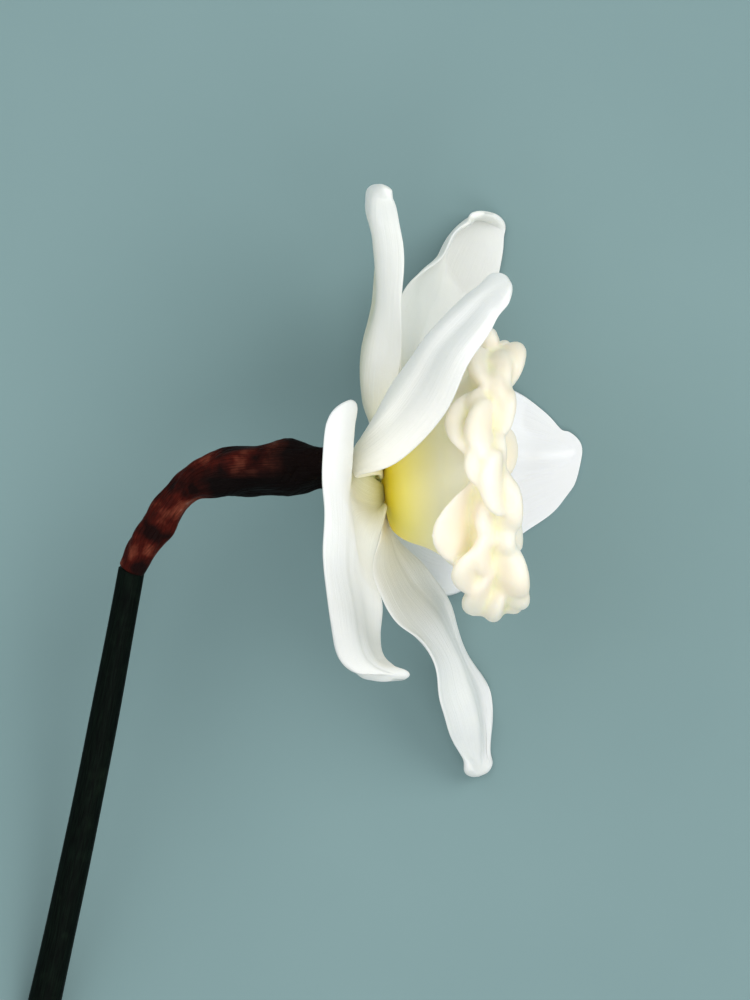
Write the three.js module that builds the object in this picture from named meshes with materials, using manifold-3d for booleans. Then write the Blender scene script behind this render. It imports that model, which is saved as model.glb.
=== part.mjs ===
// A narcissus flower, picked with a short length of stem and lying on its side on a flat surface.
// Millimetres, +Z up. The surface is z = 0, the flower faces +X and the stem runs off towards -Y.
import * as THREE from "three";
import { mergeVertices } from "three/addons/utils/BufferGeometryUtils.js";
import Module from "manifold-3d";

// ---------------------------------------------------------------- driving dimensions
const AXIS_HEIGHT = 32; // the flower's axis above the surface
const AXIS_PLACE = [13.7, 23.4]; // X and Y of the point where tepals, cup and tube meet
const FACE_TILT = 3; // degrees by which the axis turns from +X towards +Y
const PETAL_THICKNESS = 0.8;
const SHEATH_THICKNESS = 0.7;
const SEAM = 0.35; // clearance between pieces that touch in life

const TEPAL_SEAT = { at: -0.55, radius: 4.7, halfArc: 23 }; // where a tepal leaves the tube
const TEPAL_END = 0.985; // the blade stops just short of its drawn tip, and ends blunt
const CUP_THICKNESS = 0.8;
const LOBE_ROOT = 0.72; // a lobe of the cup grows out of its wall from this share of the wall's line
const LOBE_ARCH = 0.5; // how far a lobe bends over across its width
const LOBE_MESH = { rings: 5, sides: 6, end: 0.98, crowding: 1.5 };
const THROAT_RADIUS = 2.3;
const THROAT_FLOOR = -3.8;
const FLANGE = { at: -1.5, radius: 4.9 };

// Points are written from the place where tepals, cup and tube meet: x forward, y, z up.
const FLOOR = -AXIS_HEIGHT;

// ---------------------------------------------------------------- the shape of each piece
// A tepal is drawn by three lines from its seat to its tip: its two margins and its midrib.
// "low" is the margin on the side of the smaller seat angle. Angles turn about the flower's axis
// from +Y towards +Z.
const TEPALS = {
  tepal_outer_1: {
    seat: 10,
    low: [[-1.9, 8.8, -2.8], [-2.1, 14, -6.5], [-1.8, 21.8, -11], [-0.8, 30.4, -12], [-0.6, 38, -8.5],
      [-1.6, 43.8, -2.5]],
    rib: [[-2.1, 8.8, 1.3], [-3.1, 13.2, 1], [-3, 21.2, 2], [-0.6, 29.6, 3], [-0.9, 38.1, 3.2],
      [-2.4, 43.2, 3.6]],
    high: [[-1.3, 7.8, 4.4], [1.1, 12.4, 6], [2.8, 20, 9.5], [2.4, 29.7, 12.5], [2.4, 37.9, 11.5],
      [1.7, 43.6, 7.5]],
    tip: [-0.8, 47, 4.5],
    waves: { count: 2.4, size: 0.6, start: 0.5 },
  },
  tepal_outer_2: {
    seat: 124,
    low: [[-3, 1, 8.2], [-6.4, 5.2, 12], [-4.4, 10.2, 17.5], [-6.8, 11.7, 22], [-9.1, 8.2, 27.5],
      [-9, -3.5, 32.5], [-9.7, -12.7, 35], [-8.5, -22.2, 35], [-6.1, -29.2, 33]],
    rib: [[-1.7, -4.4, 6.4], [-5.1, -3.5, 11], [-6.2, -2.3, 18], [-6.6, -4, 23.5], [-6.4, -8.2, 27],
      [-6.4, -12.8, 29], [-5.8, -18.9, 30.5], [-4.4, -25.1, 31.5], [-2.1, -29.4, 31]],
    high: [[0.1, -4.4, 6.6], [-0.2, -7.2, 9], [-1.3, -10.2, 10.5], [-1.7, -13.5, 11.5], [-1.4, -17, 13.5],
      [-0.8, -20.5, 16], [-0.4, -24.5, 19], [0.1, -27.7, 23.5], [1.2, -29.5, 27.5]],
    tip: [2.1, -31.3, 29],
    waves: { count: 3.2, size: 0.5, start: 1.1 },
  },
  tepal_outer_3: {
    seat: 264,
    low: [[0.1, -4.7, -8.3], [1.5, -9.6, -13.6], [4.2, -17.4, -21.8], [12.4, -19.2, -29.2],
      [21.9, -10.3, -32.1], [29.5, -4.4, -31.8]],
    rib: [[0.1, -0.6, -9.6], [3.6, -0.4, -16.5], [8, -0.2, -24], [15, 0.5, -30], [23.4, 2.2, -32.4],
      [30.6, 3.2, -32.3]],
    high: [[0, 3.4, -8.7], [3.6, 6.9, -13], [8.3, 12.2, -20.5], [15.1, 15.8, -27], [23.3, 15.3, -31],
      [29.8, 9.9, -31.6]],
    tip: [33.3, 4.5, -31.7],
    waves: { count: 2.6, size: 0.6, start: 2.4 },
  },
  tepal_inner_1: {
    seat: 317,
    low: [[0.3, 4.2, -8.6], [3.8, 10.7, -13], [8.7, 17.4, -21.5], [14.7, 24.1, -29],
      [18.6, 31.8, -32.4], [20.1, 39.4, -32.2]],
    rib: [[-0.1, 6.9, -6.5], [2.3, 13.1, -9.5], [5.3, 21.7, -17], [9.4, 30.3, -25], [12.5, 37.7, -31.4],
      [15.1, 42.6, -32.5]],
    high: [[0, 8.9, -3.8], [1.8, 14.8, -4], [2.4, 24.1, -8], [3.9, 32.2, -14], [9.4, 37, -21],
      [13.2, 41.8, -26]],
    tip: [17.4, 44.4, -28],
    waves: { count: 2.8, size: 0.7, start: 0.2 },
  },
  tepal_inner_2: {
    seat: 70,
    low: [[-1.1, 6.9, 5], [-1.9, 7.8, 8], [0.9, 13.2, 10.8], [4.3, 18.2, 13.5], [8.8, 23.6, 17],
      [14, 28.6, 21.5]],
    rib: [[-1.5, 4.4, 7.3], [-4.3, 4.1, 11.5], [-0.8, 9.2, 17], [4, 15.8, 22], [7.8, 21.9, 26],
      [13.7, 27.6, 28]],
    high: [[-1.2, 0.4, 8.2], [-3.9, 0.3, 14.5], [1.7, 2.4, 21], [9.4, 10.1, 28.5], [13.2, 17.6, 32.6],
      [16.6, 23.3, 33]],
    tip: [19.2, 30.6, 28.6],
    waves: { count: 2.6, size: 0.5, start: 1.8 },
  },
  tepal_inner_3: {
    seat: 204,
    low: [[-0.9, -8.4, 2.4], [-2.2, -14.2, 3], [1.8, -22.6, -2], [6.4, -28, -8.5], [9.8, -37.8, -16],
      [12.7, -46, -24.5]],
    rib: [[0.5, -8.7, -4], [2.3, -13.6, -7.5], [6.4, -20.4, -13.5], [10, -29.2, -20], [13.1, -37.7, -25.5],
      [15, -45.5, -29.5]],
    high: [[0.5, -6.6, -7], [3.3, -10.9, -11.5], [9.3, -18.5, -20], [13.3, -27, -27.5],
      [17.6, -35.5, -32.4], [17.9, -44.3, -32.4]],
    tip: [16.4, -49.9, -30.6],
    waves: { count: 2.7, size: 0.7, start: 2.9 },
  },
};

// The frilled cup's wall, as [along the axis, from the axis]. It stands on a short collar in the
// tube's mouth, and its rim breaks into fleshy lobes.
const CUP_WALL = [[-0.8, 3.3], [0.4, 3.4], [0.9, 5.4], [1.5, 8], [3.3, 9.7], [6.6, 11.3], [10.2, 13.7],
  [13.6, 16.6], [16.4, 19]];

// A lobe: its angle round the axis, where its tip is along the axis and from the axis, its width
// and thickness, and how far it first runs on in the wall's direction.
const LOBES = [
  [6, 19, 22.4, 9, 2.2, 9], [17, 18.2, 24, 8, 2.3, 9.5], [28, 22.4, 21.8, 10.5, 2.6, 8],
  [39, 14, 23.4, 10, 2.6, 11.5], [51, 18.8, 22.6, 6, 2.6, 10], [57, 21.2, 21, 6, 2.6, 8.5],
  [61, 13.4, 22.6, 6, 2, 12], [63, 20.8, 19.8, 6, 1.8, 7], [69, 9.4, 21.6, 10.5, 1.7, 12],
  [73, 12.6, 23.4, 10, 2.2, 13.5], [80, 19.2, 20.4, 7, 2, 8], [87, 12.2, 22.8, 7.5, 2.2, 12],
  [95, 14.4, 23.8, 10, 2.6, 14], [99, 19.8, 21, 7, 2, 9], [107, 21.2, 21.4, 9.5, 2.6, 9.5],
  [112.5, 10.6, 22.2, 8.5, 2.2, 12], [117, 6.8, 21.2, 15, 1.6, 11], [124, 19.8, 20.8, 7, 2.2, 8.5],
  [131, 6.6, 22.2, 8, 1.8, 11], [136, 10.4, 22.8, 9, 2.2, 11.5], [138, 20.6, 20, 7, 2, 7.5],
  [148, 21.6, 22, 12, 3, 9.5], [158, 10, 23, 10, 2.2, 11.5], [161, 21.8, 22.4, 9.5, 2.6, 9.5],
  [168, 15.6, 24.2, 10.5, 2.4, 10.5], [176, 20.6, 22.6, 9.5, 2.2, 9],
];

// Below the axis the lobes swing forward and back in turn, a little uneven.
const LOWER_LOBES = {
  from: 184, to: 362, step: 11, width: 9, thickness: 2,
  forward: { tip: [21.5, 21.2], reach: 8.5 },
  backward: { tip: [14.6, 22.4], reach: 9.5 },
};

// The neck from the top of the stem to the tube's mouth: [x, y, z, sheath's outside radius].
const NECK = [
  [-41.3, -15.4, -4.1, 2.15], [-39.4, -11.6, -3, 2.3], [-37.2, -8.1, -2, 2.5], [-34.5, -4.2, -1.1, 2.55],
  [-31.6, -1.4, -0.5, 2.6], [-28.5, 0.2, -0.2, 3.3], [-24.6, 1, 0, 3.75], [-20.4, 1.3, 0, 4.2],
  [-16.1, 1.4, 0, 4.35], [-13.2, 1.5, 0, 3.9], [-9.8, 1.4, 0, 3.3], [-6.4, 0.2, 0, 3.5],
  [-3.4, -0.18, 0, 3.5],
];
const SHEATH_FOOT = 0.012; // where the sheath starts along the neck, and where it ends
const SHEATH_LIP = 0.845;
const BARE_TUBE = [2.4, 3.5]; // the tube's radius at the neck's last points
const STEM_END = { at: [-58.2, -92.7, FLOOR + 2.1], topRadius: 2.05, endRadius: 2.6 };

// ---------------------------------------------------------------- small helpers
const vec = (p) => new THREE.Vector3(p[0], p[1], p[2]);
const radians = THREE.MathUtils.degToRad;
const smooth = (from, to, x) => THREE.MathUtils.smoothstep(x, from, to);
const tilt = new THREE.Matrix4().makeRotationZ(radians(FACE_TILT));

// A point of the flower given along its axis, from its axis and by its angle round it.
function onAxis(along, radius, angle) {
  return new THREE.Vector3(along, radius * Math.cos(angle), radius * Math.sin(angle)).applyMatrix4(tilt);
}

function railThrough(points) {
  return new THREE.CatmullRomCurve3(points, false, "catmullrom", 0.5);
}

function seeded(seed) {
  let state = seed;
  return () => {
    state = (state * 1664525 + 1013904223) % 4294967296;
    return state / 4294967296;
  };
}

function normalOf(surface, u, v) {
  const step = 1e-3;
  const along = surface(u + step, v).sub(surface(u - step, v));
  const across = surface(u, v + step).sub(surface(u, v - step));
  return along.cross(across).normalize();
}

function closedGeometry(points, triangles) {
  const geometry = new THREE.BufferGeometry();
  const numbers = points.flatMap((p) => p.toArray());
  geometry.setAttribute("position", new THREE.Float32BufferAttribute(numbers, 3));
  geometry.setIndex(triangles.flat());
  return geometry;
}

// A thin sheet of even thickness over surface(u, v), u and v from 0 to 1, split alike on both
// faces. A round sheet closes on itself across v. Nothing reaches below the floor: what would
// is pressed flat on it.
function sheet(surface, rows, columns, thickness, round = false) {
  const across = round ? columns : columns + 1;
  const front = [];
  const back = [];
  for (let i = 0; i <= rows; i++) {
    for (let j = 0; j < across; j++) {
      const [u, v] = [i / rows, j / columns];
      const middle = surface(u, v);
      const half = normalOf(surface, u, v).multiplyScalar(thickness / 2);
      const faces = [middle.clone().add(half), middle.clone().sub(half)];
      faces.sort((p, q) => q.z - p.z);
      faces[1].z = Math.max(faces[1].z, FLOOR);
      faces[0].z = Math.max(faces[0].z, FLOOR + Math.min(thickness, 0.75));
      const upright = half.z >= 0;
      front.push(upright ? faces[0] : faces[1]);
      back.push(upright ? faces[1] : faces[0]);
    }
  }
  const offset = front.length;
  const at = (i, j) => i * across + (j % across);
  const triangles = [];
  const wall = (a, b) => triangles.push([a, a + offset, b + offset], [a, b + offset, b]);
  for (let i = 0; i < rows; i++) {
    for (let j = 0; j < columns; j++) {
      const [a, b, c, d] = [at(i, j), at(i + 1, j), at(i + 1, j + 1), at(i, j + 1)];
      triangles.push([a, b, c], [a, c, d]);
      triangles.push([a + offset, c + offset, b + offset], [a + offset, d + offset, c + offset]);
    }
    if (!round) {
      wall(at(i, 0), at(i + 1, 0));
      wall(at(i + 1, columns), at(i, columns));
    }
  }
  for (let j = 0; j < columns; j++) {
    wall(at(0, j + 1), at(0, j));
    wall(at(rows, j), at(rows, j + 1));
  }
  return closedGeometry([...front, ...back], triangles);
}

// A solid rod through rings of { at, along, radius }, closed at both ends. shape(angle) is the
// section's outline and is 1 where it is round.
function rod(rings, sides, shape = () => 1) {
  const points = [rings[0].at.clone()];
  for (const ring of rings) {
    const sideways = new THREE.Vector3(0, 0, 1).cross(ring.along).normalize();
    const upward = ring.along.clone().normalize().cross(sideways);
    for (let k = 0; k < sides; k++) {
      const angle = (2 * Math.PI * k) / sides;
      const reach = ring.radius * shape(angle);
      const point = ring.at.clone().addScaledVector(sideways, reach * Math.cos(angle));
      point.addScaledVector(upward, reach * Math.sin(angle));
      point.z = Math.max(point.z, FLOOR);
      points.push(point);
    }
  }
  points.push(rings.at(-1).at.clone());
  const at = (i, k) => 1 + i * sides + (k % sides);
  const last = rings.length - 1;
  const triangles = [];
  for (let k = 0; k < sides; k++) {
    triangles.push([0, at(0, k + 1), at(0, k)]);
    triangles.push([points.length - 1, at(last, k), at(last, k + 1)]);
    for (let i = 0; i < last; i++) {
      const [a, b, c, d] = [at(i, k), at(i, k + 1), at(i + 1, k + 1), at(i + 1, k)];
      triangles.push([a, b, c], [a, c, d]);
    }
  }
  return closedGeometry(points, triangles);
}

function ringsAlong(curve, radii, count) {
  const profile = railThrough(radii.map((r) => vec([r, 0, 0])));
  return Array.from({ length: count + 1 }, (_, i) => {
    const t = i / count;
    return { at: curve.getPoint(t), along: curve.getTangent(t), radius: profile.getPoint(t).x };
  });
}

// ---------------------------------------------------------------- joining with manifold-3d
const wasm = await Module();
wasm.setup();

function solid(geometry) {
  const merged = mergeVertices(geometry, 1e-4);
  const vertProperties = new Float32Array(merged.attributes.position.array);
  const triVerts = new Uint32Array(merged.index.array);
  return new wasm.Manifold(new wasm.Mesh({ numProp: 3, vertProperties, triVerts }));
}

function fused(geometries) {
  const mesh = geometries.map(solid).reduce((a, b) => a.add(b)).getMesh();
  const geometry = new THREE.BufferGeometry();
  geometry.setAttribute("position", new THREE.BufferAttribute(mesh.vertProperties.slice(), 3));
  geometry.setIndex(new THREE.BufferAttribute(mesh.triVerts.slice(), 1));
  return geometry;
}

// ---------------------------------------------------------------- tepals
function tepalSurface({ seat, low, rib, high, tip, waves }) {
  const seatPoint = (degrees) => onAxis(TEPAL_SEAT.at, TEPAL_SEAT.radius, radians(degrees));
  const rail = (start, points) => railThrough([seatPoint(start), ...points.map(vec), vec(tip)]);
  const rails = [
    rail(seat - TEPAL_SEAT.halfArc, low),
    rail(seat, rib),
    rail(seat + TEPAL_SEAT.halfArc, high),
  ];
  const spans = rib.length + 1;
  const plain = (u, v) => {
    const share = THREE.MathUtils.clamp(u * TEPAL_END, 0, 1);
    const [a, m, b] = rails.map((r) => r.getPoint(share));
    const last = Math.max(share * spans - spans + 1, 0);
    const rounding = 1 + (Math.sqrt((1 + last) / (1 - last)) - 1) * smooth(0, 0.7, last);
    const side = 2 * v - 1;
    const chord = a.clone().add(b).multiplyScalar(0.5);
    const bend = chord.sub(m).multiplyScalar(side * side);
    return m.add(b.sub(a).multiplyScalar((side * rounding) / 2)).add(bend);
  };
  return (u, v) => {
    const side = 2 * v - 1;
    const margin = Math.abs(side) ** 2.4 * Math.sin(Math.PI * THREE.MathUtils.clamp(u, 0, 1)) ** 0.7;
    const phase = 2 * Math.PI * (waves.count * u + waves.start + 0.21 * Math.sign(side));
    const groove = -0.25 * Math.exp(-((side / 0.12) ** 2)) * smooth(0.05, 0.3, u) * smooth(1, 0.8, u);
    const shift = waves.size * margin * Math.sin(phase) + groove;
    return plain(u, v).addScaledVector(normalOf(plain, u, v), shift);
  };
}

// ---------------------------------------------------------------- frilled cup
const wallLine = railThrough(CUP_WALL.map(([x, r]) => vec([x, r, 0])));

function cupWall(u, v) {
  const point = wallLine.getPoint(THREE.MathUtils.clamp(u, 0, 1));
  const beyond = wallLine.getLength() * (u - THREE.MathUtils.clamp(u, 0, 1));
  return onAxis(point.x + beyond, point.y + beyond, 2 * Math.PI * v);
}

function lowerLobes() {
  const random = seeded(7);
  const uneven = () => 2 * random() - 1;
  const { from, to, step, width, thickness, forward, backward } = LOWER_LOBES;
  const lobes = [];
  for (let angle = from; angle < to; angle += step) {
    const { tip, reach } = Math.floor(angle / step) % 2 ? forward : backward;
    const [along, out] = [tip[0] + uneven(), tip[1] + 0.7 * uneven()];
    lobes.push([angle + 2 * uneven(), along, out, width + uneven(), thickness, reach]);
  }
  return lobes;
}

// 1 up to start, and from there down to 0 at 1 along an arc.
function roundedOff(t, start, power) {
  const past = Math.max(t - start, 0) / (1 - start);
  return Math.sqrt(Math.max(1 - past ** power, 0));
}

// A lobe is a tongue with an oval section that leaves the wall in the wall's direction, bends to
// its tip and ends round.
function lobeSolid([degrees, tipAlong, tipOut, width, thickness, reach]) {
  const root = wallLine.getPoint(LOBE_ROOT);
  const bend = root.clone().addScaledVector(wallLine.getTangent(LOBE_ROOT), reach);
  const tip = vec([tipAlong, tipOut, 0]);
  const middle = new THREE.QuadraticBezierCurve3(root, bend, tip);
  const length = middle.getLength();
  const section = (t, turn) => {
    const at = middle.getPoint(t);
    const slope = middle.getTangent(t);
    const widening = 0.72 + 0.28 * smooth(0, 0.5, t);
    const thickening = 0.55 + 0.45 * smooth(0.1, 0.75, t);
    const roundWidth = roundedOff(t, 1 - (0.5 * width) / length, 2.2);
    const roundDepth = roundedOff(t, 1 - thickness / length, 2);
    const side = (width / 2) * widening * roundWidth * Math.cos(turn);
    const depth = (thickness / 2) * thickening * roundDepth * Math.sin(turn);
    const rise = depth - (LOBE_ARCH * side * side) / width;
    return onAxis(at.x - slope.y * rise, at.y + slope.x * rise, radians(degrees) + side / at.y);
  };
  return skinOf(section, LOBE_MESH);
}

// A closed solid through rings of section(t, turn), with t crowded towards the far end.
function skinOf(section, { rings, sides, end, crowding }) {
  const points = [];
  for (let i = 0; i <= rings; i++) {
    const t = 1 - (1 - (end * i) / rings) ** crowding;
    for (let k = 0; k < sides; k++) points.push(section(t, (2 * Math.PI * k) / sides));
  }
  const at = (i, k) => i * sides + (k % sides);
  const triangles = [];
  for (let k = 0; k < sides; k++) {
    for (let i = 0; i < rings; i++) {
      const [a, b, c, d] = [at(i, k), at(i, k + 1), at(i + 1, k + 1), at(i + 1, k)];
      triangles.push([a, c, b], [a, d, c]);
    }
  }
  for (let k = 1; k < sides - 1; k++) {
    triangles.push([at(0, 0), at(0, k), at(0, k + 1)]);
    triangles.push([at(rings, 0), at(rings, k + 1), at(rings, k)]);
  }
  return closedGeometry(points, triangles);
}

function frilledCup() {
  const wall = sheet(cupWall, 8, 48, CUP_THICKNESS, true);
  return fused([wall, ...[...LOBES, ...lowerLobes()].map(lobeSolid)]);
}

// ---------------------------------------------------------------- neck: sheath, tube and stem
const neckLine = railThrough(NECK.map(vec));
const neckRadii = NECK.map((p) => p[3]);

// The papery sheath wraps the neck, with its free edge lying over it, and is creased along it.
function sheathSurface() {
  const profile = railThrough(neckRadii.map((r) => vec([r, 0, 0])));
  return (u, v) => {
    const angle = -2 * Math.PI * v;
    const torn = 0.012 * Math.sin(3 * angle + 0.5) + 0.01 * Math.sin(5 * angle);
    const t = SHEATH_FOOT + (SHEATH_LIP - SHEATH_FOOT + torn) * u;
    const along = neckLine.getTangent(t);
    const sideways = new THREE.Vector3(0, 0, 1).cross(along).normalize();
    const upward = along.clone().cross(sideways);
    const crease = 0.16 * Math.sin(5 * angle + 9 * u) + 0.12 * Math.sin(3 * angle - 14 * u + 1);
    const puckers = 0.12 * Math.sin(46 * u + 2 * angle) * smooth(0.05, 0.3, u);
    const radius = profile.getPoint(t).x - SHEATH_THICKNESS / 2 + (crease + puckers) * smooth(0, 0.12, u);
    const point = neckLine.getPoint(t).addScaledVector(sideways, radius * Math.cos(angle));
    return point.addScaledVector(upward, radius * Math.sin(angle));
  };
}

// Footstalk, ovary and tube are one grown piece, with the throat open at the flower's end.
function flowerTube() {
  const inside = SHEATH_THICKNESS + SEAM + 0.35;
  const radii = [...neckRadii.slice(0, -BARE_TUBE.length).map((r) => r - inside), ...BARE_TUBE];
  const rings = ringsAlong(neckLine, radii, 22);
  const across = (along, radius) => ({
    at: onAxis(along, 0, 0), along: onAxis(1, 0, 0), radius,
  });
  rings.push(across(FLANGE.at - 0.8, 4.4), across(FLANGE.at, FLANGE.radius));
  rings.push(across(FLANGE.at, THROAT_RADIUS), across(THROAT_FLOOR, THROAT_RADIUS - 0.2));
  return rod(rings, 14);
}

// The stem is two-edged: a little wider across one way than the other.
function stemRod() {
  const top = vec(NECK[0]);
  const end = vec(STEM_END.at);
  const along = end.clone().sub(top).normalize();
  top.addScaledVector(along, 1.4 * SEAM);
  const rings = Array.from({ length: 13 }, (_, i) => {
    const t = i / 12;
    return {
      at: top.clone().lerp(end, t).add(new THREE.Vector3(0.5 * Math.sin(Math.PI * t), 0, 0)),
      along,
      radius: STEM_END.topRadius + (STEM_END.endRadius - STEM_END.topRadius) * t,
    };
  });
  return rod(rings, 16, (angle) => 1 + 0.05 * Math.cos(2 * angle));
}

// ---------------------------------------------------------------- stamens and style
const STAMEN_FOOT = THROAT_FLOOR + SEAM;

function filamentAndAnther(angle, length) {
  const place = (along, radius) => onAxis(along, radius, angle);
  const line = railThrough([place(STAMEN_FOOT + 0.5, 1.35), place(1, 1.6), place(length, 2.7)]);
  const pollen = railThrough([place(length - 1.6, 2.55), place(length + 1.4, 3), place(length + 4.4, 2.9)]);
  return [
    rod(ringsAlong(line, [0.42, 0.42, 0.36], 4), 5),
    rod(ringsAlong(pollen, [0.35, 0.9, 0.4], 4), 6),
  ];
}

function stamens() {
  const collar = new THREE.LatheGeometry([[0.95, 0], [1.75, 0], [1.75, 1.2], [0.95, 1.2], [0.95, 0]]
    .map(([x, y]) => new THREE.Vector2(x, y)), 12);
  collar.rotateZ(-Math.PI / 2).translate(STAMEN_FOOT, 0, 0).applyMatrix4(tilt);
  collar.deleteAttribute("normal");
  collar.deleteAttribute("uv");
  const parts = [0, 1, 2, 3, 4, 5].flatMap((k) =>
    filamentAndAnther(radians(20 + 60 * k), k % 2 ? 8.2 : 6.4));
  return fused([collar, ...parts]);
}

function style() {
  const line = railThrough([onAxis(THROAT_FLOOR + SEAM, 0, 0), onAxis(4, 0, 0), onAxis(12.8, 0.3, 0.4)]);
  const stalk = rod(ringsAlong(line, [0.6, 0.55, 0.6], 6), 7);
  const lobes = [0, 1, 2].map((k) => {
    const angle = radians(120 * k + 50);
    const spread = [[12.1, 0.1], [13.2, 0.8], [13.5, 1.5]];
    const lobe = railThrough(spread.map(([along, radius]) => onAxis(along, radius, angle)));
    return rod(ringsAlong(lobe, [0.55, 0.6, 0.4], 2), 6);
  });
  return fused([stalk, ...lobes]);
}

// ---------------------------------------------------------------- the flower
const finish = (color, roughness) =>
  new THREE.MeshStandardMaterial({ color, roughness, metalness: 0, flatShading: true });
const WHITE_TEPAL = finish(0xf2f2ec, 0.55);
const CREAM_CUP = finish(0xf6e7b8, 0.55);
const BROWN_SHEATH = finish(0x4a1f16, 0.7);
const DARK_STEM = finish(0x10160d, 0.6);
const GREEN_TUBE = finish(0x8a9a4c, 0.6);
const POLLEN = finish(0xd9a420, 0.8);

const flower = new THREE.Group();
flower.position.set(AXIS_PLACE[0], AXIS_PLACE[1], AXIS_HEIGHT);

function add(name, geometry, material) {
  const mesh = new THREE.Mesh(geometry, material);
  mesh.name = name;
  flower.add(mesh);
}

for (const [name, drawn] of Object.entries(TEPALS)) {
  add(name, sheet(tepalSurface(drawn), 18, 8, PETAL_THICKNESS), WHITE_TEPAL);
}
add("corona", frilledCup(), CREAM_CUP);
add("spathe", sheet(sheathSurface(), 24, 16, SHEATH_THICKNESS, true), BROWN_SHEATH);
add("flower_tube", flowerTube(), GREEN_TUBE);
add("stem", stemRod(), DARK_STEM);
add("stamens", stamens(), POLLEN);
add("style", style(), GREEN_TUBE);

export default flower;
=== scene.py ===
"""A narcissus flower lying on its side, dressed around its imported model.

Lengths are written in millimetres from the place where tepals, cup and tube meet: x the way the
flower faces, y, and z up. metres() turns them into the shared frame. Angles turn about the flower's
axis from +Y towards +Z. A surface is a function of u, from its foot to its far end, and v, across
or round it, both from 0 to 1.
"""
import math

import bpy
import numpy as np
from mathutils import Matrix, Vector


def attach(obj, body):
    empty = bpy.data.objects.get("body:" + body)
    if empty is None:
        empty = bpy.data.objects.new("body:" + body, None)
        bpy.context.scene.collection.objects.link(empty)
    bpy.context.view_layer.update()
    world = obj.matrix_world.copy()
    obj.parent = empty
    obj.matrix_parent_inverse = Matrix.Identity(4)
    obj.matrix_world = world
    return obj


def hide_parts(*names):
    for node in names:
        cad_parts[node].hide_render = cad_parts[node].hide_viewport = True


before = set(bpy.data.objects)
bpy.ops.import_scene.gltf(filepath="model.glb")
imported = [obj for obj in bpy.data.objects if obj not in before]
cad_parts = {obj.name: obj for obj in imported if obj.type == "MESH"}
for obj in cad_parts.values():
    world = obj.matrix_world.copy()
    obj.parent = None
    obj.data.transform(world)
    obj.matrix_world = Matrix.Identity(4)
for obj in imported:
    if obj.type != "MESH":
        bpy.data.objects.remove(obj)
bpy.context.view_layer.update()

# ---------------------------------------------------------------- driving dimensions
FLOWER_AT = np.array([13.7, 23.4, 32.0])  # where the flower's axis starts in the shared frame
FLOOR = -FLOWER_AT[2]
FACE_TILT = math.radians(3)  # turns the flower's axis from +X towards +Y

CAMERA_OFFSET = (-1.61, -3.54)  # where the middle of the picture is
CAMERA_HEIGHT = 700.0  # above the flower's axis
FRAME_HEIGHT = 161.0  # what the picture's long side spans at the height of the axis
CAMERA_CLIP = (0.05, 10)  # metres
SENSOR = 36.0

TEPAL_SEAT = {"at": -0.55, "radius": 4.7, "half_arc": math.radians(23)}
TEPAL_END = 0.998  # the blade stops just short of its drawn tip
TEPAL_THICKNESS = 0.8
TEPAL_ROWS, TEPAL_COLUMNS = 120, 48
CUP_THICKNESS = 1.0
CUP_ROWS, CUP_COLUMNS = 60, 160
SHEATH_THICKNESS = 0.6
SHEATH_ROWS, SHEATH_COLUMNS = 240, 180
THROAT_RADIUS = 2.3
THROAT_FLOOR = -3.8
SEAM = 0.35  # clearance between pieces that touch in life

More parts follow.
